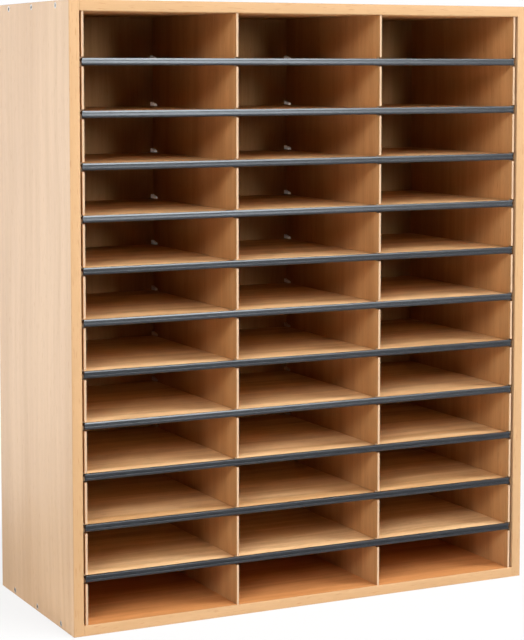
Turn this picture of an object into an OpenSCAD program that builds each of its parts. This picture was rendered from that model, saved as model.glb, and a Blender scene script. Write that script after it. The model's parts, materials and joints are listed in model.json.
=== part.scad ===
// Literature organizer: a laminated board cabinet with slotted hardboard dividers
// and pull-out hardboard shelves, each with a label strip along its front edge.
// Origin at the middle of the underside, +Z up, the open front faces -Y.

/* [Cabinet] */
// Overall width across the side boards
cabinet_w = 736; // [640:1:900]
// Overall depth from the front edging to the rear edge
cabinet_d = 304; // [260:1:380]
// Overall height
cabinet_h = 876; // [700:1:1100]
// Thickness of the side, top and bottom boards
panel_t = 15; // [13:0.5:20]
// Thickness of the edging on the front of each board
edge_band_t = 1; // [0.4:0.1:1.5]

/* [Back] */
// Thickness of the back sheet
back_t = 3.2; // [2.5:0.1:5]
// Distance from the rear edges of the boards forward to the back sheet
back_recess = 1; // [0.8:0.1:3]
// Width of the rabbet that seats the back sheet
rabbet_w = 7; // [5:0.5:9]

/* [Compartments] */
// Number of compartment rows
rows = 12; // [8:1:14]
// Thickness of the hardboard in the dividers, liners and shelves
sheet_t = 3.2; // [2.5:0.1:4.5]
// Gap between a side board and the slotted liner beside it
liner_gap = 3.5; // [1:0.5:5]
// Distance from the front edging back to the dividers, liners and label strips
front_recess = 2; // [1.5:0.5:6]
// Board left between a divider groove and the outer face
groove_floor = 10; // [9:0.5:11]
// Length of the slot that runs back from the front of each divider and liner
slot_depth = 150; // [100:1:190]
// Length of shelf end that sits in the liner slot
shelf_seat = 2.2; // [1:0.1:2.4]

/* [Label strips] */
// Height of the strip's face
strip_h = 10; // [8:0.5:14]
// Thickness of the wall behind the label
strip_wall = 1.2; // [0.8:0.1:2]
// Thickness of the slot that takes the label
label_gap = 0.8; // [0.5:0.1:1.5]
// Thickness of the two lips in front of the label
lip_t = 1; // [0.6:0.1:1.6]
// Height of each lip
lip_h = 2.2; // [1.8:0.1:3]
// Thickness of the strip above and below the label slot
lip_web = 1; // [0.6:0.1:1.4]
// Length of the two flanges that grip the shelf
flange_d = 3; // [2:0.5:14]
// Thickness of each flange
flange_t = 1; // [0.6:0.1:1.5]
// Height of the strip's top above its upper flange
strip_rise = 0.4; // [0.2:0.1:1]

/* [Screws] */
// Diameter of the screw head
screw_head_d = 9; // [8:0.5:11]
// Thickness of the screw head
screw_head_t = 2.5; // [2:0.1:4]
// Diameter of the plain shank inside the side board
screw_d = 6.4; // [5.5:0.1:7]
// Diameter of the screw's threaded end
thread_d = 5; // [4:0.1:5.4]
// Overall length of the screw
screw_len = 50; // [35:1:60]
// Width of the hexagon socket across its corners
socket_d = 4.6; // [3:0.1:5.5]
// Depth of the hexagon socket
socket_depth = 1.8; // [1:0.1:1.9]
// Screws in each corner joint
screws_per_joint = 3; // [2:1:4]
// Distance from the front edging to the first screw
screw_inset = 52; // [30:1:70]
// Distance between screws
screw_pitch = 97; // [50:1:100]
// Board left between a screw and the nearest divider groove
screw_web = 0.9; // [0.5:0.1:1.5]

/* [Nails] */
// Diameter of a back nail
nail_d = 1.6; // [1.2:0.1:2]
// Length of a back nail under its head
nail_len = 20; // [14:1:25]
// Diameter of the nail head
nail_head_d = 4; // [3:0.1:4.5]
// Thickness of the nail head
nail_head_t = 0.6; // [0.4:0.1:0.8]
// Distance between the two nails behind each column
nail_pitch = 120; // [60:1:150]

/* [Divider clips] */
// Height of the wedge clip at the rear of a divider
clip_h = 6; // [4:0.5:10]
// Length of the clip along the divider
clip_d = 16; // [10:1:24]
// Distance that each cheek stands out from the divider
clip_reach = 4; // [2:0.5:6]
// Thickness of the clip behind the divider
clip_web = 2; // [1.5:0.1:3]
// Gap between the clip and the shelf below it
clip_lift = 1; // [0.5:0.1:3]

/* [Clearances] */
// Gap above and below a shelf in its slot
slot_play = 0.4; // [0.3:0.1:0.8]
// Gap above, below and behind a label strip in the slot's mouth
mouth_play = 1.8; // [0.5:0.1:2.5]
// Gap between a shelf notch and the divider in it
notch_play = 0.6; // [0.3:0.1:1]
// Gap between the rear edge of a shelf and the back sheet
shelf_rear_gap = 1; // [0.5:0.1:3]
// Gap on each face of a divider in its groove
groove_play = 0.15; // [0.1:0.05:0.3]
// Gap above a divider in its upper groove
groove_top_play = 0.5; // [0.2:0.1:1]
// Gap between a divider and the back sheet
sheet_rear_gap = 0.2; // [0.1:0.1:1]
// Gap around a screw or nail in its hole
bore_play = 0.1; // [0.05:0.05:0.2]
// Gap between the back sheet and the wall of its rabbet
back_play = 0.5; // [0.2:0.1:1]
// Gap between a clip and the divider it holds
clip_play = 0.2; // [0.1:0.1:0.5]

/* [Hidden] */
$fn = 48;
// Overshoot that lets a cut pass clean through a face
cut = 1;
columns = 3;
strips = rows - 1;
side_out = cabinet_w / 2;
side_in = side_out - panel_t;
front_y = -cabinet_d / 2;
rear_y = cabinet_d / 2;
board_front_y = front_y + edge_band_t;
inner_top = cabinet_h - panel_t;

back_rear_y = rear_y - back_recess;
back_front_y = back_rear_y - back_t;
rabbet_d = back_recess + back_t;
back_half_w = side_in + rabbet_w - back_play;
back_low = panel_t - rabbet_w + back_play;
back_high = inner_top + rabbet_w - back_play;

sheet_front_y = front_y + front_recess;
sheet_rear_y = back_front_y - sheet_rear_gap;
sheet_low = groove_floor;
sheet_high = cabinet_h - groove_floor - groove_top_play;
row_pitch = (cabinet_h - 2 * groove_floor) / rows;
liner_x = side_in - liner_gap - sheet_t / 2;
column_w = (2 * liner_x - sheet_t - (columns - 1) * sheet_t) / columns;
column_pitch = column_w + sheet_t;
divider_x = column_pitch / 2;
sheet_places = [-liner_x, -divider_x, divider_x, liner_x];
slot_end_y = sheet_front_y + slot_depth;

shelf_top = sheet_t / 2;
shelf_half_l = liner_x - sheet_t / 2 + shelf_seat;
shelf_rear_y = back_front_y - shelf_rear_gap;
notch_front_y = slot_end_y - notch_play;
notch_w = sheet_t + 2 * notch_play;
// Height of the underside of a clip above the middle plane of the shelf below it
clip_low = shelf_top + clip_lift;

face_d = lip_t + label_gap + strip_wall;
strip_top = shelf_top + flange_t + strip_rise;
strip_low = strip_top - strip_h;
shelf_front_y = sheet_front_y + face_d;
mouth_d = face_d + flange_d + mouth_play;
mouth_h = strip_h + 2 * mouth_play;

screw_z = groove_floor - screw_web - bore_play - thread_d / 2;
nail_x = side_in + rabbet_w / 2;
nail_low_z = panel_t - rabbet_w / 2;
nail_high_z = inner_top + rabbet_w / 2;

oak = [0.90, 0.74, 0.56];
oak_edge = [0.93, 0.74, 0.53];
hardboard = [0.78, 0.58, 0.38];
hardboard_back = [0.52, 0.34, 0.20];
charcoal = [0.16, 0.16, 0.18];
zinc = [0.78, 0.78, 0.80];
clip_white = [0.85, 0.84, 0.82];

function two_digits(n) = n < 10 ? str("0", n) : str(n);
function shelf_name(row) = str("shelf_", two_digits(row));
function strip_name(row) = str("label_strip_", two_digits(row));
// Height of a shelf's middle plane, counted from the top row down
function shelf_z(row) = cabinet_h - groove_floor - row * row_pitch;
// Height of the middle of a compartment row
function row_mid_z(row) = shelf_z(row) + row_pitch / 2;
function column_x(column) = (column - (columns - 1) / 2) * column_pitch;

// A block given by its lowest and highest corners
module block(low, high) {
    translate(low) cube(high - low);
}

// One screw along +X with the outer face of its head at x = 0
module screw_solid(grow) {
    rotate([0, 90, 0]) {
        cylinder(d = screw_head_d + 2 * grow, h = screw_head_t);
        cylinder(d = screw_d + 2 * grow, h = panel_t);
        cylinder(d = thread_d + 2 * grow, h = screw_len);
    }
}

// Copies its children to every screw place on the left side
module at_left_screws() {
    for (z = [screw_z, cabinet_h - screw_z])
        for (i = [0 : screws_per_joint - 1])
            translate([-side_out, front_y + screw_inset + i * screw_pitch, z]) children();
}

module screw_holes() {
    at_left_screws() screw_solid(bore_play);
    mirror([1, 0, 0]) at_left_screws() screw_solid(bore_play);
}

module screw() {
    difference() {
        screw_solid(0);
        translate([-cut, 0, 0]) rotate([0, 90, 0]) cylinder(d = socket_d, h = socket_depth + cut, $fn = 6);
    }
}

// One nail along -Y with the underside of its head on the back sheet
module nail_shank(grow) {
    rotate([90, 0, 0]) cylinder(d = nail_d + 2 * grow, h = nail_len);
}

// Copies its children to every nail place round the back sheet
module at_nails() {
    for (side = [-1, 1])
        for (row = [1 : 2 : rows])
            translate([side * nail_x, back_rear_y, row_mid_z(row)]) children();
    for (z = [nail_low_z, nail_high_z])
        for (column = [0 : columns - 1])
            for (side = [-1, 1])
                translate([column_x(column) + side * nail_pitch / 2, back_rear_y, z]) children();
}

module nail_holes() {
    at_nails() nail_shank(bore_play);
}

// The room that the back sheet takes out of the boards
module rabbet() {
    block(
        [-side_in - rabbet_w, rear_y - rabbet_d, panel_t - rabbet_w],
        [side_in + rabbet_w, rear_y + cut, inner_top + rabbet_w]
    );
}

module side_panel_left() {
    color(oak) difference() {
        block([-side_out, board_front_y, 0], [-side_in, rear_y, cabinet_h]);
        rabbet();
        screw_holes();
        nail_holes();
    }
}

module side_panel_right() {
    color(oak) difference() {
        block([side_in, board_front_y, 0], [side_out, rear_y, cabinet_h]);
        rabbet();
        screw_holes();
        nail_holes();
    }
}

// The grooves that hold the ends of the dividers and liners
module sheet_grooves() {
    half_w = sheet_t / 2 + groove_play;
    for (x = sheet_places)
        block(
            [x - half_w, board_front_y - cut, groove_floor],
            [x + half_w, rear_y + cut, cabinet_h - groove_floor]
        );
}

module cross_panel(low, high) {
    difference() {
        block([-side_in, board_front_y, low], [side_in, rear_y, high]);
        sheet_grooves();
        rabbet();
        screw_holes();
        nail_holes();
    }
}

module top_panel() {
    color(oak) cross_panel(inner_top, cabinet_h);
}

module bottom_panel() {
    color(oak) cross_panel(0, panel_t);
}

module back_panel() {
    color(hardboard_back) difference() {
        block([-back_half_w, back_front_y, back_low], [back_half_w, back_rear_y, back_high]);
        nail_holes();
    }
}

module edge_band(low_x, high_x, low_z, high_z) {
    color(oak_edge) block([low_x, front_y, low_z], [high_x, board_front_y, high_z]);
}

// The front-open slot of one shelf, with the wide mouth that clears its label strip
module shelf_slot(x) {
    half_w = sheet_t / 2 + cut;
    half_h = shelf_top + slot_play;
    block([x - half_w, sheet_front_y - cut, -half_h], [x + half_w, slot_end_y, half_h]);
    translate([x - half_w, sheet_front_y - cut, strip_low - mouth_play])
        cube([2 * half_w, mouth_d + cut, mouth_h]);
}

module slotted_sheet(x) {
    half_w = sheet_t / 2;
    difference() {
        block([x - half_w, sheet_front_y, sheet_low], [x + half_w, sheet_rear_y, sheet_high]);
        for (row = [1 : strips])
            translate([0, 0, shelf_z(row)]) shelf_slot(x);
    }
}

module side_liner(x) {
    color(hardboard) slotted_sheet(x);
}

module divider(x) {
    half_w = sheet_t / 2 + cut;
    color(hardboard) difference() {
        slotted_sheet(x);
        for (row = [1 : strips])
            translate([x, 0, shelf_z(row) + clip_low])
                block(
                    [-half_w, back_front_y - clip_web - clip_play, -clip_play],
                    [half_w, back_front_y, clip_h + clip_play]
                );
    }
}

// A wedge that straddles the divider and is fixed to the back sheet
module divider_clip() {
    half_w = sheet_t / 2 + clip_play + clip_reach;
    gap_half_w = sheet_t / 2 + clip_play;
    difference() {
        translate([-half_w, back_front_y, 0]) rotate([90, 0, 90])
            linear_extrude(2 * half_w) polygon([[-clip_d, 0], [0, 0], [0, clip_h]]);
        block(
            [-gap_half_w, back_front_y - clip_d - cut, -cut],
            [gap_half_w, back_front_y - clip_web, clip_h + cut]
        );
    }
}

module divider_clips(x) {
    color(clip_white)
        for (row = [1 : strips])
            translate([x, 0, shelf_z(row) + clip_low]) divider_clip();
}

module cabinet_screws_left() {
    color(zinc) at_left_screws() screw();
}

module cabinet_screws_right() {
    color(zinc) mirror([1, 0, 0]) at_left_screws() screw();
}

module back_nails() {
    color(zinc) at_nails() {
        nail_shank(0);
        rotate([-90, 0, 0]) cylinder(d = nail_head_d, h = nail_head_t);
    }
}

// A shelf notched from the rear, so that it halves into the dividers and liners
module shelf(row) {
    liner_in = liner_x - sheet_t / 2 - notch_play;
    color(hardboard) translate([0, 0, shelf_z(row)]) difference() {
        block([-shelf_half_l, shelf_front_y, -shelf_top], [shelf_half_l, shelf_rear_y, shelf_top]);
        for (x = [-divider_x, divider_x])
            block(
                [x - notch_w / 2, notch_front_y, -shelf_top - cut],
                [x + notch_w / 2, shelf_rear_y + cut, shelf_top + cut]
            );
        for (side = [-1, 1])
            translate([side * (liner_in + notch_w), 0, 0])
                block(
                    [-notch_w, notch_front_y, -shelf_top - cut],
                    [notch_w, shelf_rear_y + cut, shelf_top + cut]
                );
    }
}

// The strip's section: a lipped label channel in front, two gripping flanges behind
module strip_section() {
    difference() {
        union() {
            translate([lip_t, strip_low]) square([face_d - lip_t, strip_h]);
            translate([0, strip_low + lip_t]) square([face_d, strip_h - 2 * lip_t]);
            for (z = [strip_low + lip_t, strip_top - lip_t])
                translate([lip_t, z]) circle(r = lip_t);
        }
        translate([lip_t, strip_low + lip_web]) square([label_gap, strip_h - 2 * lip_web]);
        translate([-cut, strip_low + lip_h]) square([lip_t + label_gap / 2 + cut, strip_h - 2 * lip_h]);
    }
    for (z = [shelf_top, -shelf_top - flange_t])
        translate([face_d, z]) square([flange_d, flange_t]);
}

module label_strip(row) {
    color(charcoal) translate([-shelf_half_l, sheet_front_y, shelf_z(row)]) rotate([90, 0, 90])
        linear_extrude(2 * shelf_half_l) strip_section();
}

side_panel_left();
side_panel_right();
top_panel();
bottom_panel();
back_panel();
edge_band(-side_out, -side_in, 0, cabinet_h);  // edge_band_left
edge_band(side_in, side_out, 0, cabinet_h);  // edge_band_right
edge_band(-side_in, side_in, inner_top, cabinet_h);  // edge_band_top
edge_band(-side_in, side_in, 0, panel_t);  // edge_band_bottom
side_liner(-liner_x);  // side_liner_left
side_liner(liner_x);  // side_liner_right
divider(-divider_x);  // divider_left
divider(divider_x);  // divider_right
cabinet_screws_left();
cabinet_screws_right();
back_nails();
divider_clips(-divider_x);  // divider_clips_left
divider_clips(divider_x);  // divider_clips_right
for (row = [1 : strips]) {
    shelf(row);
    label_strip(row);
}
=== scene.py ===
"""Looks for a literature organizer: oak-print boards, printed hardboard shelves and dividers,
charcoal label strips and zinc hardware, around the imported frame. Lengths are metres."""
import json
import math

import bmesh
import bpy
from bpy.props import FloatProperty, FloatVectorProperty, IntProperty, PointerProperty
from mathutils import Matrix, Vector

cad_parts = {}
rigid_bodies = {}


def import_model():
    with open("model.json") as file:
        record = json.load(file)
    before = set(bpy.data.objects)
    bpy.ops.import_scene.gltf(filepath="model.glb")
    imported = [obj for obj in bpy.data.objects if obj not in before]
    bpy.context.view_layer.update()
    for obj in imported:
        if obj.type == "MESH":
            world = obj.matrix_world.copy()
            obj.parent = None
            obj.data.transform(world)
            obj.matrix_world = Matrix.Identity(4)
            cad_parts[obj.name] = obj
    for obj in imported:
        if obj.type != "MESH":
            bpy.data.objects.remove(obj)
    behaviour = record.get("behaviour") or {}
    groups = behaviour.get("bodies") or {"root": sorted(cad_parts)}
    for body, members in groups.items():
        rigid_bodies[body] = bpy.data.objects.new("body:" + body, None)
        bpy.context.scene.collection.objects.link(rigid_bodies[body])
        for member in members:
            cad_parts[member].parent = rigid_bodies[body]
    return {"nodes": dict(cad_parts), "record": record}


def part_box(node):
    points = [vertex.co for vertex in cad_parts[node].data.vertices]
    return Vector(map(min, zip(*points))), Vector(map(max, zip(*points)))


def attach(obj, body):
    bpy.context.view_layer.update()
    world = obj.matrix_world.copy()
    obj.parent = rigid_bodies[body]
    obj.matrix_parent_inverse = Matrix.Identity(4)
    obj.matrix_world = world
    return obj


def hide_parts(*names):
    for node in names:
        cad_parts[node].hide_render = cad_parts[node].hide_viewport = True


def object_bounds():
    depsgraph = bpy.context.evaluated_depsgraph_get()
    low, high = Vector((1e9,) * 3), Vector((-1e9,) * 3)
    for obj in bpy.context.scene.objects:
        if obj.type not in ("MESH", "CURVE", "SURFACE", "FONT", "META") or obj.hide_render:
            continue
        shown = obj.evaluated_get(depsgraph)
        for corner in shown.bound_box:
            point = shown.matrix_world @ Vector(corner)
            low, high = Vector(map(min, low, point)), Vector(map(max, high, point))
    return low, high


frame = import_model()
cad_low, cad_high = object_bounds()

bl_info = {
    "name": "Literature Organizer",
    "version": (1, 0, 0),
    "blender": (4, 5, 0),
    "location": "View3D > Sidebar > Organizer",
    "description": "Models and finishes the pieces of a literature organizer and sets its studio",
    "category": "Object",
}

MM = 0.001
X, Y, Z = range(3)
# Distance within which two places count as one
TOUCH = 0.01 * MM
# Degrees between two faces up to which they shade as one surface
CRISP, SOFT, ROUND = 20, 35, 40
SHELVES = sorted(name for name in frame["nodes"] if name.startswith("shelf_"))
STRIPS = sorted(name for name in frame["nodes"] if name.startswith("label_strip_"))
BODY_OF_NODE = {
    node: body
    for body, nodes in frame["record"]["behaviour"]["bodies"].items()
    for node in nodes
}


# Settings

def length(name, description, default):
    return FloatProperty(
        name=name, description=description, default=default,
        min=0, precision=4, subtype="DISTANCE", unit="LENGTH",
    )


def colour(name, description, default):
    return FloatVectorProperty(
        name=name, description=description, default=default,
        size=3, min=0, max=1, subtype="COLOR",
    )


def share(name, description, default):
    return FloatProperty(
        name=name, description=description, default=default, min=0, max=1, subtype="FACTOR",
    )


def point(name, description, default):
    return FloatVectorProperty(name=name, description=description, default=default, subtype="TRANSLATION")


def sides(name, description, default):
    return FloatVectorProperty(
        name=name, description=description, default=default, size=2, min=0, subtype="XYZ", unit="LENGTH",
    )


def power(name, description, default):
    return FloatProperty(name=name, description=description, default=default, min=0, unit="POWER")


class BoardSettings(bpy.types.PropertyGroup):
    """The oak-print boards and the edging on their front edges."""

    edge_radius: length("Edge radius", "Rounding of the boards' outer edges", 0.5 * MM)
    edging_radius: length("Edging radius", "Rounding of the front edging", 0.8 * MM)
    rabbet_play: length("Rabbet play", "Gap round the back sheet in its rabbet", 0.5 * MM)
    groove_play: length("Groove play", "Gap on each face of a sheet in its groove", 0.15 * MM)
    oak_light: colour("Oak, light", "Pale streaks of the oak print", (0.62, 0.400, 0.222))
    oak_dark: colour("Oak, dark", "Dark streaks of the oak print", (0.54, 0.328, 0.168))
    # The bottom board's colours are a darker, more saturated copy of the oak: painted shade on the floor of
    # the lowest compartment, on top of the oak print
    bottom_oak_and_shade_pale: colour("Bottom oak and painted shade, light", "Pale streaks of the bottom board", (0.630, 0.288, 0.107))
    bottom_oak_and_shade_dark: colour("Bottom oak and painted shade, dark", "Dark streaks of the bottom board", (0.490, 0.207, 0.068))
    oak_pore: colour("Oak pores", "Short dark flecks in the oak print", (0.40, 0.185, 0.070))
    edging_light: colour("Edging, light", "Pale streaks of the front edging", (0.558, 0.345, 0.180))
    edging_dark: colour("Edging, dark", "Dark streaks of the front edging", (0.528, 0.319, 0.158))
    core_light: colour("Board core, light", "Pale chips of the raw board", (0.55, 0.38, 0.22))
    core_dark: colour("Board core, dark", "Dark chips of the raw board", (0.26, 0.15, 0.07))
    roughness: share("Roughness", "Roughness of the laminate", 0.36)
    gloss: share("Gloss", "Specular level of the side boards", 0.5)
    coat: share("Clear coat", "Strength of the laminate's clear overlay", 0.5)
    edging_gloss: share("Edging gloss", "Specular level of the edging", 0.15)
    level_gloss: share("Level gloss", "Specular level of the top and bottom boards and of board ends", 0.0)


class HardboardSettings(bpy.types.PropertyGroup):
    """The shelves, dividers, liners and back sheet."""

    print_light: colour("Print, light", "Pale streaks on the upright sheets", (0.580, 0.310, 0.132))
    print_dark: colour("Print, dark", "Dark streaks on the upright sheets", (0.470, 0.235, 0.090))
    print_pore: colour("Print pores", "Short dark flecks of the print", (0.38, 0.15, 0.045))
    # The shelf colours are much paler than the upright print: painted light on the shelf tops, on top of
    # their real print
    shelf_print_and_light_pale: colour("Shelf print and painted light, light", "Pale streaks on the shelves", (0.90, 0.615, 0.335))
    shelf_print_and_light_dark: colour("Shelf print and painted light, dark", "Dark streaks on the shelves", (0.63, 0.370, 0.165))
    # The back sheet's colours are darker than the upright print: painted shade at the rear of the
    # compartments, on top of its real print
    back_print_and_shade_pale: colour("Back print and painted shade, light", "Pale streaks inside the back sheet", (0.50, 0.285, 0.122))
    back_print_and_shade_dark: colour("Back print and painted shade, dark", "Dark streaks inside the back sheet", (0.40, 0.215, 0.085))
    front_edge: colour("Front edge", "Painted front edges of the dividers", (0.56, 0.385, 0.245))
    raw_light: colour("Raw, light", "Pale fibres of the unprinted hardboard", (0.27, 0.15, 0.075))
    raw_dark: colour("Raw, dark", "Dark fibres of the unprinted hardboard", (0.16, 0.082, 0.038))
    screen_size: length("Screen size", "Mesh pressed into the rear of the back sheet", 2.0 * MM)
    roughness: share("Roughness", "Roughness of the printed face", 0.48)
    gloss: share("Gloss", "Specular level of the printed faces", 0.15)
    back_gloss: share("Back gloss", "Specular level of the back sheet", 0.08)


class StripSettings(bpy.types.PropertyGroup):
    """The label strip along the front of each shelf."""

    lip_thickness: length("Lip thickness", "Thickness of the lips in front of a label", 1.0 * MM)
    lip_height: length("Lip height", "Height of the upper lip", 2.8 * MM)
    lower_lip_height: length("Lower lip height", "Height of the lower lip", 4.0 * MM)
    label_gap: length("Label gap", "Thickness of the slot that takes a label", 0.8 * MM)
    label_hollow: length("Label hollow", "Depth of the hollow behind a label", 0.3 * MM)
    web: length("Web", "Thickness above and below the label slot", 1.0 * MM)
    flange: length("Flange", "Thickness of the flanges that grip the shelf", 1.0 * MM)
    top_radius: length("Top radius", "Rounding of the upper lip's front corner", 0.35 * MM)
    low_radius: length("Lower radius", "Rounding of the lower lip's front corner", 1.8 * MM)
    top_lean: length("Top lean", "How far the upper lip's corner lies back", 0.50 * MM)
    low_lean: length("Lower lean", "How far the lower lip's corner lies back", 0.55 * MM)
    leans: FloatVectorProperty(
        name="Leans", description="How far each strip leans back, from the top one",
        size=11, unit="ROTATION",
        default=(-0.01, 0, -0.04, 0.02, -0.05, 0.0, -0.06, 0.035, -0.08, -0.07, -0.07),
    )
    sheen_tint: colour("Sheen tint", "Tint of the plastic's reflections", (0.86, 0.94, 1.0))
    charcoal: colour("Charcoal", "Plastic of the strips", (0.012, 0.012, 0.015))
    scuff: colour("Scuff", "Paler streaks drawn along the plastic", (0.016, 0.016, 0.019))
    roughness: share("Roughness", "Roughness of the plastic", 0.30)
    gloss: share("Gloss", "Specular level of the plastic", 0.40)


class HardwareSettings(bpy.types.PropertyGroup):
    """The corner screws, the back nails and the divider clips."""

    head_thickness: length("Head thickness", "Thickness of a screw head", 2.5 * MM)
    head_bevel: length("Head bevel", "Bevel round a screw head", 0.4 * MM)
    shank_width: length("Shank width", "Diameter of the plain shank", 6.4 * MM)
    thread_width: length("Thread width", "Diameter of the threaded end", 5.0 * MM)
    socket_width: length("Socket width", "Hexagon socket across its corners", 5.4 * MM)
    socket_depth: length("Socket depth", "Depth of the hexagon socket", 2.2 * MM)
    bore_play: length("Bore play", "Gap round a screw in its hole", 0.1 * MM)
    nail_width: length("Nail width", "Diameter of a back nail", 1.6 * MM)
    nail_head: length("Nail head", "Thickness of a nail head", 0.6 * MM)
    round_sides: IntProperty(name="Round sides", description="Sides of a round piece", default=32, min=12)
    clip_web: length("Clip web", "Thickness of a clip behind its divider", 2.0 * MM)
    clip_play: length("Clip play", "Gap on each face of a divider in its clip", 0.2 * MM)
    clip_nose: length("Clip nose", "Height of the blunt front of a divider clip", 2.6 * MM)
    clip_sweep: length("Clip sweep", "How far the nose of a clip lies back at its ends", 0.4 * MM)
    clip_bevel: length("Clip bevel", "Rounding of a clip's edges", 0.3 * MM)
    zinc: colour("Zinc", "Bright zinc plating", (0.70, 0.68, 0.66))
    zinc_dull: colour("Zinc, dull", "Clouded patches of the plating", (0.50, 0.48, 0.46))
    clip_light: colour("Clip, light", "Plastic of the divider clips", (0.92, 0.80, 0.73))
    clip_dark: colour("Clip, dark", "Clouding in the clip plastic", (0.84, 0.72, 0.65))


# Place, width and height, power, and the start of the names of the pieces that a limited lamp lights
LAMPS = {
    "key": ((-5.20, -5.00, 3.60), (3.5, 2.2), 310.0, ""),
    "fill": ((0.48, -2.82, 1.75), (1.2, 0.8), 15.0, ""),
    "right": ((5.20, -3.80, 3.75), (2.6, 2.6), 370.0, ""),
    "side": ((-4.90, 3.10, 0.45), (3.2, 0.9), 174.0, ""),
    "top": ((1.50, -4.00, 9.00), (3.0, 3.0), 560.0, ""),
    "card": ((0.95, -3.05, 1.29), (1.40, 1.42), 168.0, "label_channel"),
    "glint": ((-1.90, -2.90, 1.20), (0.4, 0.3), 35.0, "wedge_clips"),
    "glow": ((0.70, -3.25, 1.12), (0.45, 0.5), 28.0, "back_panel"),
}


class StageSettings(bpy.types.PropertyGroup):
    """Floor, lamps and camera."""

    floor_size: length("Floor size", "Length of each side of the floor", 40.0)
    floor_colour: colour("Floor", "Paint of the floor", (0.82, 0.82, 0.82))
    floor_white: share("Floor white", "Share of plain white in what the camera sees of the floor", 0.84)
    fade_start: length("Fade start", "Distance where the floor starts to turn white", 1.0)
    fade_full: length("Fade full", "Distance where the floor is plain white", 3.0)
    sky_light: share("Sky light", "Strength of the even light from all round", 0.03)
    room_light: share("Room light", "What reflections see of the room in front of the object", 0.10)
    glare: FloatProperty(
        name="Glare", description="What reflections see of the lit backdrop behind the object",
        default=1.0, min=0,
    )
    glare_start: length("Glare start", "Distance behind the object where the floor's glare begins", 0.4)
    glare_full: length("Glare full", "Distance behind the object where the floor's glare is full", 1.4)
    lamp_aim: point("Lamp aim", "Point that the lamps face", (0.0, -0.10, 0.42))
    camera_place: point("Camera place", "Place of the camera", (-1.29122, -2.59021, 0.78389))
    camera_turn: FloatProperty(
        name="Camera turn", description="Turn of the camera to the right of straight ahead", default=0.4616,
        subtype="ANGLE",
    )
    camera_tilt: FloatProperty(
        name="Camera tilt", description="Tilt of the camera below the horizon", default=0.0872,
        subtype="ANGLE",
    )
    focal_length: FloatProperty(
        name="Focal length", description="Lens on a sensor of 36 mm", default=108.08,
        subtype="DISTANCE_CAMERA",
    )
    frame_drop: FloatProperty(
        name="Frame drop", description="Lens shift, as a share of the picture's height", default=-0.13125,
    )


for lamp_name, (lamp_place, lamp_extent, lamp_watts, _) in LAMPS.items():
    title = f"{lamp_name.title()} lamp"
    StageSettings.__annotations__.update({
        f"{lamp_name}_place": point(f"{title} place", "Place of the lamp", lamp_place),
        f"{lamp_name}_size": sides(f"{title} size", "Width and height of the lamp", lamp_extent),
        f"{lamp_name}_power": power(f"{title} power", "Power of the lamp", lamp_watts),
    })


# Modelling by hand

def activate(piece):
    bpy.ops.object.select_all(action="DESELECT")
    piece.select_set(True)
    bpy.context.view_layer.objects.active = piece


def apply_place(piece, name):
    """Moves a new primitive's place, turn and scale into its mesh, and names it."""
    activate(piece)
    bpy.ops.object.transform_apply(location=True, rotation=True, scale=True)
    piece.name = name
    piece.data.name = name
    return piece


def add_block(name, low, high):
    """A box between two corners, as a start for a piece or a cutter."""
    bpy.ops.object.select_all(action="DESELECT")
    low, high = Vector(low), Vector(high)
    bpy.ops.mesh.primitive_cube_add(size=1, location=(low + high) / 2, scale=high - low)
    return apply_place(bpy.context.active_object, name)


def select(piece, kind, chosen):
    """In edit mode, selects the VERT, EDGE or FACE parts that the test picks, and nothing else."""
    bpy.ops.mesh.select_mode(type=kind)
    bpy.ops.mesh.select_all(action="DESELECT")
    mesh = bmesh.from_edit_mesh(piece.data)
    for part in {"VERT": mesh.verts, "EDGE": mesh.edges, "FACE": mesh.faces}[kind]:
        part.select_set(chosen(part))
    mesh.select_flush_mode()
    bmesh.update_edit_mesh(piece.data)


def on_plane(vertex, axis, value):
    return abs(vertex.co[axis] - value) < TOUCH


def bevel_edges(piece, chosen, radius, segments):
    activate(piece)
    bpy.ops.object.mode_set(mode="EDIT")
    select(piece, "EDGE", chosen)
    bpy.ops.mesh.bevel(offset=radius, segments=segments, affect="EDGES")
    bpy.ops.object.mode_set(mode="OBJECT")


def joined(pieces, name):
    """One object made of several."""
    activate(pieces[0])
    for piece in pieces:
        piece.select_set(True)
    if len(pieces) > 1:
        bpy.ops.object.join()
    piece = bpy.context.active_object
    piece.name = name
    piece.data.name = name
    return piece


def cut_away(piece, cutter):
    """Takes the cutter's shape out of the piece and throws the cutter away."""
    activate(piece)
    modifier = piece.modifiers.new("cut", "BOOLEAN")
    modifier.operation = "DIFFERENCE"
    modifier.solver = "EXACT"
    modifier.object = cutter
    bpy.ops.object.modifier_apply(modifier=modifier.name)
    bpy.data.objects.remove(cutter)


def turned(name, steps, facets):
    """A round piece along +X through (place along the axis, radius) steps."""
    bpy.ops.object.select_all(action="DESELECT")
    (start, radius), rest = steps[0], steps[1:]
    bpy.ops.mesh.primitive_circle_add(
        vertices=facets, radius=radius, fill_type="NGON",
        location=(start, 0, 0), rotation=(0, math.pi / 2, 0),
    )
    piece = apply_place(bpy.context.active_object, name)
    bpy.ops.object.mode_set(mode="EDIT")
    bpy.ops.mesh.select_all(action="SELECT")
    for place, next_radius in rest:
        bpy.ops.mesh.extrude_region_move(TRANSFORM_OT_translate={"value": (place - start, 0, 0)})
        ratio = next_radius / radius
        bpy.ops.transform.resize(value=(1, ratio, ratio), center_override=(place, 0, 0))
        start, radius = place, next_radius
    bpy.ops.mesh.select_all(action="SELECT")
    bpy.ops.mesh.normals_make_consistent(inside=False)
    bpy.ops.object.mode_set(mode="OBJECT")
    return piece


def copied(piece, name, placing):
    """A copy with its own mesh, moved by a matrix."""
    twin = bpy.data.objects.new(name, piece.data.copy())
    twin.data.name = name
    twin.data.transform(placing)
    bpy.context.scene.collection.objects.link(twin)
    return twin


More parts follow.
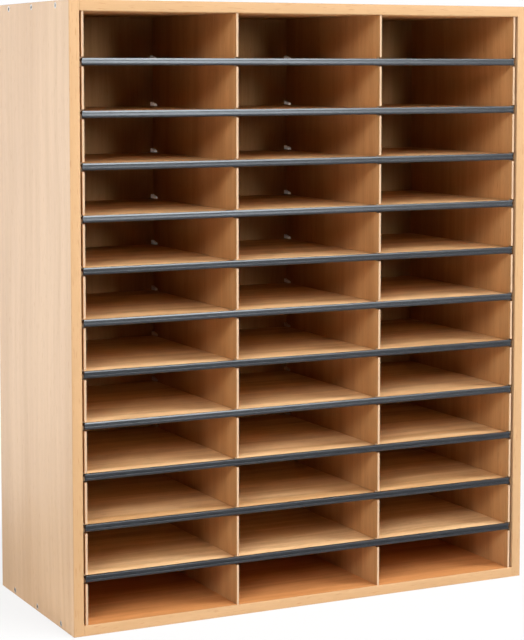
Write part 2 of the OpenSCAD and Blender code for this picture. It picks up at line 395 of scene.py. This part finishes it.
def solids_of(node):
    """Lowest and highest corners of each separate solid of a CAD node."""
    mesh = bmesh.new()
    mesh.from_mesh(frame["nodes"][node].data)
    bmesh.ops.remove_doubles(mesh, verts=mesh.verts, dist=0.001 * MM)
    boxes, seen = [], set()
    for first in mesh.verts:
        if first in seen:
            continue
        seen.add(first)
        solid = [first]
        for vertex in solid:
            linked = {edge.other_vert(vertex) for edge in vertex.link_edges} - seen
            seen |= linked
            solid.extend(linked)
        corners = [[test(v.co[axis] for v in solid) for axis in (X, Y, Z)] for test in (min, max)]
        boxes.append(tuple(Vector(corner) for corner in corners))
    mesh.free()
    return sorted(boxes, key=lambda box: tuple(round(value, 5) for value in box[0]))


def seat(piece, node):
    """Puts a finished piece on its body in place of a CAD node."""
    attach(piece, BODY_OF_NODE[node])
    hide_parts(node)


def smooth(piece, angle=SOFT):
    activate(piece)
    bpy.ops.object.shade_smooth_by_angle(angle=math.radians(angle))


def dress(node, material):
    """Gives a CAD node a finish."""
    mesh = frame["nodes"][node].data
    mesh.materials.clear()
    mesh.materials.append(material)


# Finishes

class Finish:
    """A procedural material in the making."""

    def __init__(self, name):
        self.material = bpy.data.materials.new(name)
        self.material.use_nodes = True
        self.tree = self.material.node_tree
        self.shader = self.tree.nodes["Principled BSDF"]
        self.place = self.add("ShaderNodeTexCoord").outputs["Object"]

    def join(self, socket, value):
        """Links a socket to another one, or sets its value."""
        if isinstance(value, bpy.types.NodeSocket):
            self.tree.links.new(value, socket)
        elif socket.type == "RGBA":
            socket.default_value = (*value, 1)
        else:
            socket.default_value = value

    def add(self, kind, sockets=None, **settings):
        node = self.tree.nodes.new(kind)
        for key, value in settings.items():
            setattr(node, key, value)
        for key, value in (sockets or {}).items():
            self.join(node.inputs[key], value)
        return node

    def set(self, **sockets):
        """Sets the shader's sockets, named with underscores."""
        for key, value in sockets.items():
            self.join(self.shader.inputs[key.replace("_", " ")], value)
        return self.material

    def stretched(self, vector, scale):
        return self.add("ShaderNodeMapping", {"Vector": vector, "Scale": scale}).outputs["Vector"]

    def noise(self, vector, size, detail=2.0, kind="Fac"):
        sockets = {"Vector": vector, "Scale": 1 / size, "Detail": detail}
        return self.add("ShaderNodeTexNoise", sockets).outputs[kind]

    def math(self, operation, first, second=0.0):
        return self.add("ShaderNodeMath", {0: first, 1: second}, operation=operation).outputs[0]

    def span(self, value, low, high, to_low=0.0, to_high=1.0):
        """A value between two limits, brought to another range."""
        sockets = {"Value": value, "From Min": low, "From Max": high, "To Min": to_low, "To Max": to_high}
        return self.add("ShaderNodeMapRange", sockets).outputs["Result"]

    def mix(self, factor, first, second):
        return self.add("ShaderNodeMix", {0: factor, 6: first, 7: second}, data_type="RGBA").outputs[2]

    def facing(self, axis):
        """How far the surface faces along one axis, from -1 to 1."""
        normal = self.add("ShaderNodeNewGeometry").outputs["Normal"]
        return self.add("ShaderNodeSeparateXYZ", {0: normal}).outputs[axis]

    def bump(self, height, depth):
        return self.add("ShaderNodeBump", {"Height": height, "Distance": depth}).outputs["Normal"]


def wood_grain(finish, along, light, dark, pore, streak=14 * MM):
    """Printed wood that runs along one axis: (colour, fibre height)."""
    drift = finish.noise(finish.place, 0.5, 1.0, "Color")
    centred = finish.add("ShaderNodeVectorMath", {0: drift, 1: (0.5, 0.5, 0.5)}, operation="SUBTRACT")
    sway = {0: centred.outputs[0], 1: (0.05, 0.05, 0.05), 2: finish.place}
    bent = finish.add("ShaderNodeVectorMath", sway, operation="MULTIPLY_ADD")
    slow, short = [1, 1, 1], [1, 1, 1]
    slow[along], short[along] = 0.04, 0.10
    lengthwise = finish.stretched(bent.outputs[0], slow)
    broad = finish.noise(lengthwise, 4 * streak, 1.0)
    middle = finish.noise(lengthwise, streak, 2.0)
    fibre = finish.noise(lengthwise, streak / 6, 2.0)
    weighted = finish.math("MULTIPLY_ADD", middle, 0.8)
    finish.join(weighted.node.inputs[2], broad)
    tone = finish.math("MULTIPLY_ADD", fibre, 0.5)
    finish.join(tone.node.inputs[2], weighted)
    ground = finish.mix(finish.span(tone, 0.95, 1.35), dark, light)
    flecks = finish.noise(finish.stretched(bent.outputs[0], short), streak / 8, 1.0)
    pores = finish.span(flecks, 0.64, 0.74, 0.0, 0.45)
    return finish.mix(pores, ground, pore), fibre


def oak_finish(name, along, light, dark, gloss, coat=0.0):
    """Oak print with its grain along one axis."""
    look = bpy.context.scene.organizer_boards
    finish = Finish(name)
    grain, fibre = wood_grain(finish, along, light, dark, look.oak_pore)
    return finish.set(
        Base_Color=grain,
        Roughness=finish.span(fibre, 0.3, 0.7, look.roughness - 0.05, look.roughness + 0.05),
        Normal=finish.bump(fibre, 0.05 * MM),
        Specular_IOR_Level=gloss,
        Coat_Weight=coat,
        Coat_Roughness=0.25,
    )


def core_finish():
    """Raw particle board on the boards' rear edges."""
    look = bpy.context.scene.organizer_boards
    finish = Finish("board_core")
    cells = {"Vector": finish.place, "Scale": 1 / (2.5 * MM)}
    chips = finish.add("ShaderNodeTexVoronoi", cells).outputs["Color"]
    tone = finish.add("ShaderNodeSeparateColor", {0: chips}).outputs[0]
    dust = finish.noise(finish.place, 1.2 * MM, 3.0)
    return finish.set(
        Base_Color=finish.mix(finish.span(tone, 0.0, 1.0), look.core_dark, look.core_light),
        Roughness=finish.span(dust, 0.3, 0.7, 0.75, 0.95),
        Normal=finish.bump(tone, 0.25 * MM),
    )


def raw_hardboard(finish, look):
    """Unprinted hardboard: matted brown fibres."""
    mat = finish.noise(finish.place, 6 * MM, 5.0)
    return finish.mix(finish.span(mat, 0.35, 0.65), look.raw_dark, look.raw_light)


def hardboard_finish(name, along, faces, light, dark, painted_front=False):
    """Printed on the faces across one axis and raw on its edges, apart from a painted front edge."""
    look = bpy.context.scene.organizer_hardboard
    finish = Finish(name)
    grain, fibre = wood_grain(finish, along, light, dark, look.print_pore, 16 * MM)
    printed = finish.math("GREATER_THAN", finish.math("ABSOLUTE", finish.facing(faces)), 0.5)
    surface = finish.mix(printed, raw_hardboard(finish, look), grain)
    if painted_front:
        front = finish.math("LESS_THAN", finish.facing(Y), -0.5)
        surface = finish.mix(front, surface, look.front_edge)
    return finish.set(
        Base_Color=surface,
        Roughness=finish.span(fibre, 0.3, 0.7, look.roughness - 0.05, look.roughness + 0.05),
        Specular_IOR_Level=look.gloss,
        Normal=finish.bump(fibre, 0.04 * MM),
    )


def back_finish():
    """Printed on the inside in colours darkened as painted shade, raw and screen-pressed on the rear."""
    look = bpy.context.scene.organizer_hardboard
    finish = Finish("back_hardboard")
    grain, fibre = wood_grain(finish, Z, look.back_print_and_shade_pale, look.back_print_and_shade_dark, look.print_pore, 16 * MM)
    inside = finish.math("LESS_THAN", finish.facing(Y), -0.5)
    parts = finish.add("ShaderNodeSeparateXYZ", {0: finish.place}).outputs
    turns = [finish.math("MULTIPLY", parts[axis], math.tau / look.screen_size) for axis in (X, Z)]
    screen = finish.math("MULTIPLY", *(finish.math("SINE", turn) for turn in turns))
    pressed = finish.math("MULTIPLY", screen, finish.math("SUBTRACT", 1.0, inside))
    return finish.set(
        Base_Color=finish.mix(inside, raw_hardboard(finish, look), grain),
        Roughness=finish.span(inside, 0.0, 1.0, 0.82, 0.68),
        Specular_IOR_Level=look.back_gloss,
        Normal=finish.bump(pressed, 0.15 * MM),
    )


def strip_finish():
    """Extruded charcoal plastic with faint lines along its length."""
    look = bpy.context.scene.organizer_strips
    finish = Finish("charcoal_plastic")
    lines = finish.noise(finish.stretched(finish.place, (0.01, 1, 1)), 0.7 * MM, 2.0)
    wear = finish.noise(finish.stretched(finish.place, (0.1, 1, 1)), 20 * MM, 2.0)
    return finish.set(
        Base_Color=finish.mix(finish.span(lines, 0.35, 0.7), look.charcoal, look.scuff),
        Roughness=finish.span(wear, 0.3, 0.7, look.roughness - 0.03, look.roughness + 0.03),
        Specular_IOR_Level=look.gloss,
        Specular_Tint=look.sheen_tint,
        Normal=finish.bump(lines, 0.001 * MM),
    )


def zinc_finish():
    look = bpy.context.scene.organizer_hardware
    finish = Finish("zinc_plate")
    cloud = finish.noise(finish.place, 1.5 * MM, 4.0)
    return finish.set(
        Base_Color=finish.mix(finish.span(cloud, 0.35, 0.65), look.zinc_dull, look.zinc),
        Metallic=1.0,
        Roughness=finish.span(cloud, 0.3, 0.7, 0.42, 0.26),
    )


def clip_finish():
    look = bpy.context.scene.organizer_hardware
    finish = Finish("clip_plastic")
    cloud = finish.noise(finish.place, 4 * MM, 3.0)
    return finish.set(
        Base_Color=finish.mix(finish.span(cloud, 0.35, 0.65), look.clip_dark, look.clip_light),
        Roughness=finish.span(cloud, 0.3, 0.7, 0.14, 0.18),
    )


# Operators

class ORGANIZER_OT_boards(bpy.types.Operator):
    """Model the side, top and bottom boards with their rabbets, grooves, screw holes and eased edges"""

    bl_idname = "organizer.boards"
    bl_label = "Boards"

    def execute(self, context):
        core = core_finish()
        look = context.scene.organizer_boards
        dull = look.level_gloss
        ends = oak_finish("oak_board_ends", Y, look.oak_light, look.oak_dark, dull)
        uprights = oak_finish("oak_board_upright", Z, look.oak_light, look.oak_dark, look.gloss, look.coat)
        levels = {
            "top": oak_finish("oak_board_top", X, look.oak_light, look.oak_dark, dull),
            # The bottom board's colours carry painted shade as well as the oak print
            "bottom": oak_finish("oak_board_bottom", X, look.bottom_oak_and_shade_pale, look.bottom_oak_and_shade_dark, dull),
        }
        for side in ("left", "right"):
            board = self.cut_board(f"side_panel_{side}")
            self.paint(board, uprights, ends, core)
            seat(board, f"side_panel_{side}")
        for level, face in levels.items():
            board = self.cut_board(f"{level}_panel")
            self.paint(board, face, ends, core)
            seat(board, f"{level}_panel")
        return {"FINISHED"}

    def cut_board(self, node):
        look = bpy.context.scene.organizer_boards
        low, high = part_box(node)
        board = add_block(node.replace("panel", "board"), low, high)
        outer = [(Y, high[Y])]
        if node != "top_panel":
            outer.append((Z, cad_low[Z]))
        if node != "bottom_panel":
            outer.append((Z, cad_high[Z]))
        if node.startswith("side"):
            outer.append((X, cad_low[X] if node.endswith("left") else cad_high[X]))

        def on_outer_corner(edge):
            planes = [place for place in outer if all(on_plane(v, *place) for v in edge.verts)]
            return len(planes) >= 2

        bevel_edges(board, on_outer_corner, look.edge_radius, 2)
        cut_away(board, self.rabbet_cutter(look.rabbet_play, high[Y]))
        if node in ("top_panel", "bottom_panel"):
            cut_away(board, self.groove_cutter(look.groove_play, low, high))
        cut_away(board, self.screw_cutter())
        smooth(board, CRISP)
        return board

    def rabbet_cutter(self, play, rear):
        low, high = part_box("back_panel")
        far = (high[X] + play, rear + MM, high[Z] + play)
        return add_block("rabbet", low - Vector((play, 0, play)), far)

    def groove_cutter(self, play, low, high):
        blocks = []
        for node in ("side_liner_left", "divider_left", "divider_right", "side_liner_right"):
            sheet_low, sheet_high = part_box(node)
            blocks.append(
                add_block(
                    "groove",
                    (sheet_low[X] - play, low[Y] - MM, sheet_low[Z]),
                    (sheet_high[X] + play, high[Y] + MM, sheet_high[Z] + 0.5 * MM),
                )
            )
        return joined(blocks, "grooves")

    def screw_cutter(self):
        look = bpy.context.scene.organizer_hardware
        blank = screw_blank("screw_hole", look.bore_play)
        return joined(screw_copies(blank, "left") + screw_copies(blank, "right", True), "screw_holes")

    def paint(self, board, face, end, core):
        """Laminate on the faces, edging on the ends, raw core at the rear and in the cuts."""
        for material in (face, end, core):
            board.data.materials.append(material)
        rabbet_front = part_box("back_panel")[0][Y] - 0.1 * MM
        for polygon in board.data.polygons:
            rear = polygon.normal[Y] > 0.9 or (
                polygon.center[Y] > rabbet_front and abs(polygon.center[X]) < cad_high[X] - MM
                and cad_low[Z] + MM < polygon.center[Z] < cad_high[Z] - MM
            )
            end_face = abs(polygon.normal[Z]) > 0.9 and "side" in board.name
            polygon.material_index = 2 if rear else 1 if end_face else 0


class ORGANIZER_OT_edging(bpy.types.Operator):
    """Model the rounded edging on the front of each board"""

    bl_idname = "organizer.edging"
    bl_label = "Front edging"

    def execute(self, context):
        look = context.scene.organizer_boards
        finishes = {
            Z: oak_finish("oak_edging_upright", Z, look.edging_light, look.edging_dark, look.edging_gloss),
            X: oak_finish("oak_edging_level", X, look.edging_light, look.edging_dark, look.edging_gloss),
        }
        for place, along in (("left", Z), ("right", Z), ("top", X), ("bottom", X)):
            node = f"edge_band_{place}"
            low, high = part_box(node)
            band = add_block(f"edging_{place}", low, high)
            across = Z if along == X else X

            def rounded(edge):
                """The long front edges, and the short ones of an upright band."""
                lengthwise = abs(edge.verts[0].co[across] - edge.verts[1].co[across]) < TOUCH
                return all(on_plane(v, Y, low[Y]) for v in edge.verts) and (lengthwise or along == Z)

            bevel_edges(band, rounded, look.edging_radius, 3)
            smooth(band)
            band.data.materials.append(finishes[along])
            seat(band, node)
        return {"FINISHED"}


class ORGANIZER_OT_sheets(bpy.types.Operator):
    """Finish the dividers, liners, shelves and back sheet"""

    bl_idname = "organizer.sheets"
    bl_label = "Hardboard sheets"

    def execute(self, context):
        look = context.scene.organizer_hardboard
        upright = hardboard_finish(
            "printed_hardboard_upright", Z, X, look.print_light, look.print_dark, painted_front=True,
        )
        # The shelves' paler colours carry painted light on their tops as well as their print
        level = hardboard_finish("printed_hardboard_level", X, Z, look.shelf_print_and_light_pale, look.shelf_print_and_light_dark)
        for node in ("side_liner_left", "side_liner_right", "divider_left", "divider_right"):
            dress(node, upright)
        for node in SHELVES:
            dress(node, level)
        dress("back_panel", back_finish())
        return {"FINISHED"}


class ORGANIZER_OT_label_strips(bpy.types.Operator):
    """Model one label strip from its section and copy it to every shelf"""

    bl_idname = "organizer.label_strips"
    bl_label = "Label strips"

    def execute(self, context):
        plastic = strip_finish()
        strip_box, shelf_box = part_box(STRIPS[0]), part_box(SHELVES[0])
        strip = self.extruded_strip(strip_box, shelf_box)
        strip.data.materials.append(plastic)
        shelf_low, shelf_high = shelf_box
        pivot = Vector((0, shelf_low[Y], (shelf_low[Z] + shelf_high[Z]) / 2))
        for node, lean in zip(STRIPS, context.scene.organizer_strips.leans):
            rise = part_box(node)[0][Z] - strip_box[0][Z]
            turn = Matrix.Rotation(-lean, 4, "X") @ Matrix.Translation(-pivot)
            placing = Matrix.Translation(pivot + Vector((0, 0, rise))) @ turn
            twin = copied(strip, node.replace("strip", "channel"), placing)
            seat(twin, node)
        bpy.data.objects.remove(strip)
        return {"FINISHED"}

    def extruded_strip(self, box, shelf_box):
        """A plane across the strip, cut to its section, rounded and drawn out along the shelf."""
        look = bpy.context.scene.organizer_strips
        (left, front, low), (right, rear, high) = box
        wall_rear = shelf_box[0][Y]
        shelf_low, shelf_high = shelf_box[0][Z], shelf_box[1][Z]
        lip_rear = front + look.lip_thickness
        slot_rear = lip_rear + look.label_gap
        bpy.ops.object.select_all(action="DESELECT")
        bpy.ops.mesh.primitive_plane_add(
            size=1, location=(left, (front + rear) / 2, (low + high) / 2), rotation=(0, math.pi / 2, 0),
        )
        bpy.context.active_object.scale = (high - low, rear - front, 1)
        strip = apply_place(bpy.context.active_object, "label_channel")
        bpy.ops.object.mode_set(mode="EDIT")
        for y in (lip_rear, slot_rear, wall_rear):
            bpy.ops.mesh.select_all(action="SELECT")
            bpy.ops.mesh.bisect(plane_co=(left, y, 0), plane_no=(0, 1, 0))
        levels = (
            low + look.web, low + look.lower_lip_height, high - look.lip_height, high - look.web,
            shelf_low - look.flange, shelf_low, shelf_high, shelf_high + look.flange,
        )
        for z in levels:
            bpy.ops.mesh.select_all(action="SELECT")
            bpy.ops.mesh.bisect(plane_co=(left, 0, z), plane_no=(0, 0, 1))

        def empty(face):
            _, y, z = face.calc_center_median()
            if y > wall_rear:
                lower = shelf_low - look.flange < z < shelf_low
                upper = shelf_high < z < shelf_high + look.flange
                return not (lower or upper)
            if y > slot_rear:
                return False
            in_slot = low + look.web < z < high - look.web
            return in_slot and (y > lip_rear or low + look.lower_lip_height < z < high - look.lip_height)

        select(strip, "FACE", empty)
        bpy.ops.mesh.delete(type="FACE")
        bpy.ops.mesh.select_all(action="SELECT")
        bpy.ops.mesh.dissolve_limited(angle_limit=math.radians(1))
        select(strip, "EDGE", lambda edge: all(on_plane(v, Y, slot_rear) for v in edge.verts))
        bpy.ops.mesh.subdivide(number_cuts=1)
        hollow = (low + 2 * look.web, high - 2 * look.web)
        select(strip, "VERT", lambda v: on_plane(v, Y, slot_rear) and hollow[0] < v.co[Z] < hollow[1])
        bpy.ops.transform.translate(value=(0, look.label_hollow, 0))
        bpy.ops.mesh.bevel(offset=(high - low) / 5, offset_type="OFFSET", segments=4, affect="VERTICES")
        corners = ((low, look.low_lean, look.low_radius), (high, look.top_lean, look.top_radius))
        for corner, lean, radius in corners:
            select(strip, "VERT", lambda v: on_plane(v, Y, front) and on_plane(v, Z, corner))
            bpy.ops.transform.translate(value=(0, lean, 0))
            bpy.ops.mesh.bevel(offset=radius, offset_type="OFFSET", segments=6, affect="VERTICES")
        inner_lips = (low + look.lower_lip_height, high - look.lip_height)
        select(
            strip, "VERT",
            lambda v: v.co[Y] < lip_rear + TOUCH and any(on_plane(v, Z, z) for z in inner_lips),
        )
        lip_round = 0.45 * look.lip_thickness
        bpy.ops.mesh.bevel(offset=lip_round, offset_type="WIDTH", segments=3, affect="VERTICES")
        select(strip, "VERT", lambda v: on_plane(v, Y, rear))
        flange_round = 0.3 * look.flange
        bpy.ops.mesh.bevel(offset=flange_round, offset_type="WIDTH", segments=2, affect="VERTICES")
        bpy.ops.mesh.select_all(action="SELECT")
        bpy.ops.mesh.extrude_region_move(TRANSFORM_OT_translate={"value": (right - left, 0, 0)})
        bpy.ops.mesh.select_all(action="SELECT")
        bpy.ops.mesh.normals_make_consistent(inside=False)
        bpy.ops.object.mode_set(mode="OBJECT")
        smooth(strip, ROUND)
        return strip


def screw_blank(name, grow=0.0):
    """A screw along +X with its head at the origin and no socket."""
    look = bpy.context.scene.organizer_hardware
    low, high = solids_of("cabinet_screws_left")[0]
    head = (high[Y] - low[Y]) / 2 + grow
    bevel = 0.0 if grow else look.head_bevel
    end = high[X] - low[X]
    thread = look.thread_width / 2 + grow
    shank_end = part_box("side_panel_left")[1][X] - low[X]
    steps = [
        (-grow, head - bevel), (bevel, head), (look.head_thickness, head),
        (look.head_thickness, look.shank_width / 2 + grow), (shank_end, look.shank_width / 2 + grow),
        (shank_end, thread), (end - thread, thread), (end, 0.2 * thread),
    ]
    return turned(name, steps, look.round_sides)


def screw_copies(blank, side, last=False):
    """Copies of a screw at every place on one side of the cabinet."""
    copies = []
    for low, high in solids_of(f"cabinet_screws_{side}"):
        outer = low[X] if side == "left" else high[X]
        middle = (low + high) / 2
        turn = Matrix.Rotation(0.0 if side == "left" else math.pi, 4, "Z")
        placing = Matrix.Translation((outer, middle[Y], middle[Z])) @ turn
        copies.append(copied(blank, f"screw_{side}", placing))
    if last:
        bpy.data.objects.remove(blank)
    return copies


class ORGANIZER_OT_screws(bpy.types.Operator):
    """Model one socket screw and copy it to the corner joints"""

    bl_idname = "organizer.screws"
    bl_label = "Corner screws"

    def execute(self, context):
        look = context.scene.organizer_hardware
        zinc = zinc_finish()
        screw = screw_blank("corner_screw")
        bpy.ops.object.select_all(action="DESELECT")
        bpy.ops.mesh.primitive_cylinder_add(
            vertices=6, radius=look.socket_width / 2, depth=2 * look.socket_depth,
            rotation=(0, math.pi / 2, 0),
        )
        cut_away(screw, apply_place(bpy.context.active_object, "socket"))
        screw.data.materials.append(zinc)
        for side in ("left", "right"):
            group = joined(screw_copies(screw, side, side == "right"), f"corner_screws_{side}")
            smooth(group)
            seat(group, f"cabinet_screws_{side}")
        return {"FINISHED"}


class ORGANIZER_OT_nails(bpy.types.Operator):
    """Model one round-headed nail and copy it round the back sheet"""

    bl_idname = "organizer.nails"
    bl_label = "Back nails"

    def execute(self, context):
        look = context.scene.organizer_hardware
        places = solids_of("back_nails")
        low, high = places[0]
        head, depth, shank = (high[X] - low[X]) / 2, look.nail_head, look.nail_width / 2
        end = high[Y] - low[Y]
        steps = [
            (0.0, 0.25 * head), (0.12 * depth, 0.6 * head), (0.4 * depth, 0.88 * head),
            (0.75 * depth, head), (depth, head), (depth, shank),
            (end - 2 * shank, shank), (end, 0.1 * shank),
        ]
        nail = turned("back_nail", steps, look.round_sides // 2)
        nail.data.materials.append(zinc_finish())
        copies = []
        for low, high in places:
            middle = (low + high) / 2
            turn = Matrix.Rotation(-math.pi / 2, 4, "Z")
            placing = Matrix.Translation((middle[X], high[Y], middle[Z])) @ turn
            copies.append(copied(nail, "back_nail_copy", placing))
        bpy.data.objects.remove(nail)
        group = joined(copies, "back_sheet_nails")
        smooth(group)
        seat(group, "back_nails")
        return {"FINISHED"}


class ORGANIZER_OT_clips(bpy.types.Operator):
    """Model one wedge clip and copy it to the rear of each divider"""

    bl_idname = "organizer.clips"
    bl_label = "Divider clips"

    def execute(self, context):
        plastic = clip_finish()
        for side in ("left", "right"):
            places = solids_of(f"divider_clips_{side}")
            clip = self.wedge(*places[0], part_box(f"divider_{side}"))
            clip.data.materials.append(plastic)
            copies = [
                copied(clip, f"clip_{side}", Matrix.Translation(low - places[0][0])) for low, _ in places
            ]
            bpy.data.objects.remove(clip)
            group = joined(copies, f"wedge_clips_{side}")
            smooth(group, CRISP)
            seat(group, f"divider_clips_{side}")
        return {"FINISHED"}

    def wedge(self, low, high, sheet_box):
        """A block drawn down to a blunt nose at the front, slotted for the divider."""
        look = bpy.context.scene.organizer_hardware
        middle = (low[X] + high[X]) / 2
        clip = add_block("divider_clip", low, high)
        bpy.ops.object.mode_set(mode="EDIT")
        select(clip, "VERT", lambda v: on_plane(v, Y, low[Y]) and on_plane(v, Z, high[Z]))
        bpy.ops.transform.translate(value=(0, 0.05 * look.clip_nose, low[Z] + look.clip_nose - high[Z]))
        bpy.ops.mesh.select_all(action="SELECT")
        bpy.ops.mesh.bisect(plane_co=(middle, 0, 0), plane_no=(1, 0, 0))
        select(clip, "VERT", lambda v: v.co[Y] < low[Y] + MM and abs(v.co[X] - middle) > MM)
        bpy.ops.transform.translate(value=(0, look.clip_sweep, 0))
        bpy.ops.object.mode_set(mode="OBJECT")

        def outer(edge):
            on_end = any(all(on_plane(v, X, end) for v in edge.verts) for end in (low[X], high[X]))
            nose_top = low[Z] + look.clip_nose
            on_nose = all(v.co[Y] < low[Y] + MM and on_plane(v, Z, nose_top) for v in edge.verts)
            return on_end or on_nose

        bevel_edges(clip, outer, look.clip_bevel, 2)
        slot_low = (sheet_box[0][X] - look.clip_play, low[Y] - MM, low[Z] - MM)
        slot_high = (sheet_box[1][X] + look.clip_play, high[Y] - look.clip_web, high[Z] + MM)
        cut_away(clip, add_block("clip_slot", slot_low, slot_high))
        return clip


class ORGANIZER_OT_stage(bpy.types.Operator):
    """Set the floor, the white surround, the lamps and the camera"""

    bl_idname = "organizer.stage"
    bl_label = "Studio stage"

    def execute(self, context):
        look = context.scene.organizer_stage
        context.scene.view_settings.view_transform = "Standard"
        self.floor(look)
        self.surround(look)
        for name, (*_, only) in LAMPS.items():
            lamp = self.lamp(
                f"{name}_lamp", getattr(look, f"{name}_place"), look.lamp_aim,
                getattr(look, f"{name}_size"), getattr(look, f"{name}_power"),
            )
            lamp.visible_diffuse = name != "card"
            if only:
                self.limit(lamp, only)
        self.camera(look)
        return {"FINISHED"}

    def floor(self, look):
        bpy.ops.object.select_all(action="DESELECT")
        bpy.ops.mesh.primitive_plane_add(size=look.floor_size)
        floor = bpy.context.active_object
        floor.name = "floor"
        finish = Finish("floor_paint")
        cloud = finish.noise(finish.place, 0.8, 2.0)
        shades = [tuple(value * factor for value in look.floor_colour) for factor in (0.99, 1.01)]
        finish.set(Base_Color=finish.mix(cloud, *shades), Roughness=0.9)
        path = finish.add("ShaderNodeLightPath").outputs
        white = finish.add("ShaderNodeEmission", {"Color": (1, 1, 1), "Strength": 1.0}).outputs[0]
        away = finish.add("ShaderNodeVectorMath", {0: finish.place}, operation="LENGTH").outputs["Value"]
        faded = finish.span(away, look.fade_start, look.fade_full, look.floor_white, 1.0)
        seen = finish.math("MULTIPLY", path["Is Camera Ray"], faded)
        paint = finish.shader.outputs[0]
        plain = finish.add("ShaderNodeMixShader", {0: seen, 1: paint, 2: white}).outputs[0]
        depth = finish.add("ShaderNodeSeparateXYZ", {0: finish.place}).outputs[Y]
        lit = finish.span(depth, cad_high[Y] + look.glare_start, cad_high[Y] + look.glare_full)
        glowing = finish.add("ShaderNodeEmission", {"Color": (1, 1, 1), "Strength": look.glare}).outputs[0]
        mirrored = finish.math("MULTIPLY", path["Is Glossy Ray"], lit)
        surface = finish.add("ShaderNodeMixShader", {0: mirrored, 1: plain, 2: glowing}).outputs[0]
        finish.tree.links.new(surface, finish.tree.nodes["Material Output"].inputs["Surface"])
        floor.data.materials.append(finish.material)

    def surround(self, look):
        """A white backdrop for the camera and for reflections, with a dim room in front of the object."""
        world = bpy.data.worlds.new("white_surround")
        bpy.context.scene.world = world
        world.use_nodes = True
        nodes, links = world.node_tree.nodes, world.node_tree.links
        path = nodes.new("ShaderNodeLightPath").outputs
        direction = nodes.new("ShaderNodeSeparateXYZ")
        links.new(nodes.new("ShaderNodeTexCoord").outputs["Generated"], direction.inputs[0])
        reflected = nodes.new("ShaderNodeMapRange")
        # Along Y, a reflected direction leaves the room at -0.1 and sees the full backdrop at 0.3
        limits = {"From Min": -0.1, "From Max": 0.3, "To Min": look.room_light, "To Max": look.glare}
        for key, value in limits.items():
            reflected.inputs[key].default_value = value
        links.new(direction.outputs[Y], reflected.inputs["Value"])
        glossy = nodes.new("ShaderNodeMix")
        glossy.inputs[2].default_value = look.sky_light
        links.new(path["Is Glossy Ray"], glossy.inputs[0])
        links.new(reflected.outputs["Result"], glossy.inputs[3])
        strength = nodes.new("ShaderNodeMath")
        strength.operation = "MAXIMUM"
        links.new(path["Is Camera Ray"], strength.inputs[0])
        links.new(glossy.outputs[0], strength.inputs[1])
        links.new(strength.outputs[0], nodes["Background"].inputs["Strength"])
        nodes["Background"].inputs["Color"].default_value = (1, 1, 1, 1)

    def lamp(self, name, place, aim, size, power):
        data = bpy.data.lights.new(name, "AREA")
        data.shape = "RECTANGLE"
        data.size, data.size_y = size
        data.energy = power
        lamp = bpy.data.objects.new(name, data)
        lamp.location = place
        lamp.rotation_euler = (Vector(aim) - Vector(place)).to_track_quat("-Z", "Y").to_euler()
        lamp.visible_camera = False
        bpy.context.scene.collection.objects.link(lamp)
        return lamp

    def limit(self, lamp, start):
        """Lets a lamp light only the pieces whose names have the same start."""
        lit = bpy.data.collections.new(f"{lamp.name}_pieces")
        for piece in bpy.context.scene.objects:
            if piece.name.startswith(start):
                lit.objects.link(piece)
        lamp.light_linking.receiver_collection = lit

    def camera(self, look):
        data = bpy.data.cameras.new("photo_camera")
        data.lens = look.focal_length
        data.shift_y = look.frame_drop
        camera = bpy.data.objects.new("photo_camera", data)
        camera.location = look.camera_place
        camera.rotation_euler = (math.pi / 2 - look.camera_tilt, 0, -look.camera_turn)
        bpy.context.scene.collection.objects.link(camera)
        bpy.context.scene.camera = camera


OPERATORS = (
    ORGANIZER_OT_boards,
    ORGANIZER_OT_edging,
    ORGANIZER_OT_sheets,
    ORGANIZER_OT_label_strips,
    ORGANIZER_OT_screws,
    ORGANIZER_OT_nails,
    ORGANIZER_OT_clips,
    ORGANIZER_OT_stage,
)
SETTINGS = {
    "organizer_boards": BoardSettings,
    "organizer_hardboard": HardboardSettings,
    "organizer_strips": StripSettings,
    "organizer_hardware": HardwareSettings,
    "organizer_stage": StageSettings,
}


class ORGANIZER_PT_panel(bpy.types.Panel):
    """The organizer's pieces and their settings"""

    bl_idname = "ORGANIZER_PT_panel"
    bl_label = "Literature Organizer"
    bl_space_type = "VIEW_3D"
    bl_region_type = "UI"
    bl_category = "Organizer"

    def draw(self, context):
        for operator in OPERATORS:
            self.layout.operator(operator.bl_idname)
        for group in SETTINGS:
            box = self.layout.box()
            settings = getattr(context.scene, group)
            for key in settings.bl_rna.properties.keys():
                if key not in ("rna_type", "name"):
                    box.prop(settings, key)


def register():
    for group, settings in SETTINGS.items():
        bpy.utils.register_class(settings)
        setattr(bpy.types.Scene, group, PointerProperty(type=settings))
    for item in (*OPERATORS, ORGANIZER_PT_panel):
        bpy.utils.register_class(item)


def unregister():
    for item in (ORGANIZER_PT_panel, *reversed(OPERATORS)):
        bpy.utils.unregister_class(item)
    for group, settings in SETTINGS.items():
        delattr(bpy.types.Scene, group)
        bpy.utils.unregister_class(settings)


def main():
    register()
    for operator in OPERATORS:
        family, name = operator.bl_idname.split(".")
        getattr(getattr(bpy.ops, family), name)()


if __name__ == "__main__":
    main()
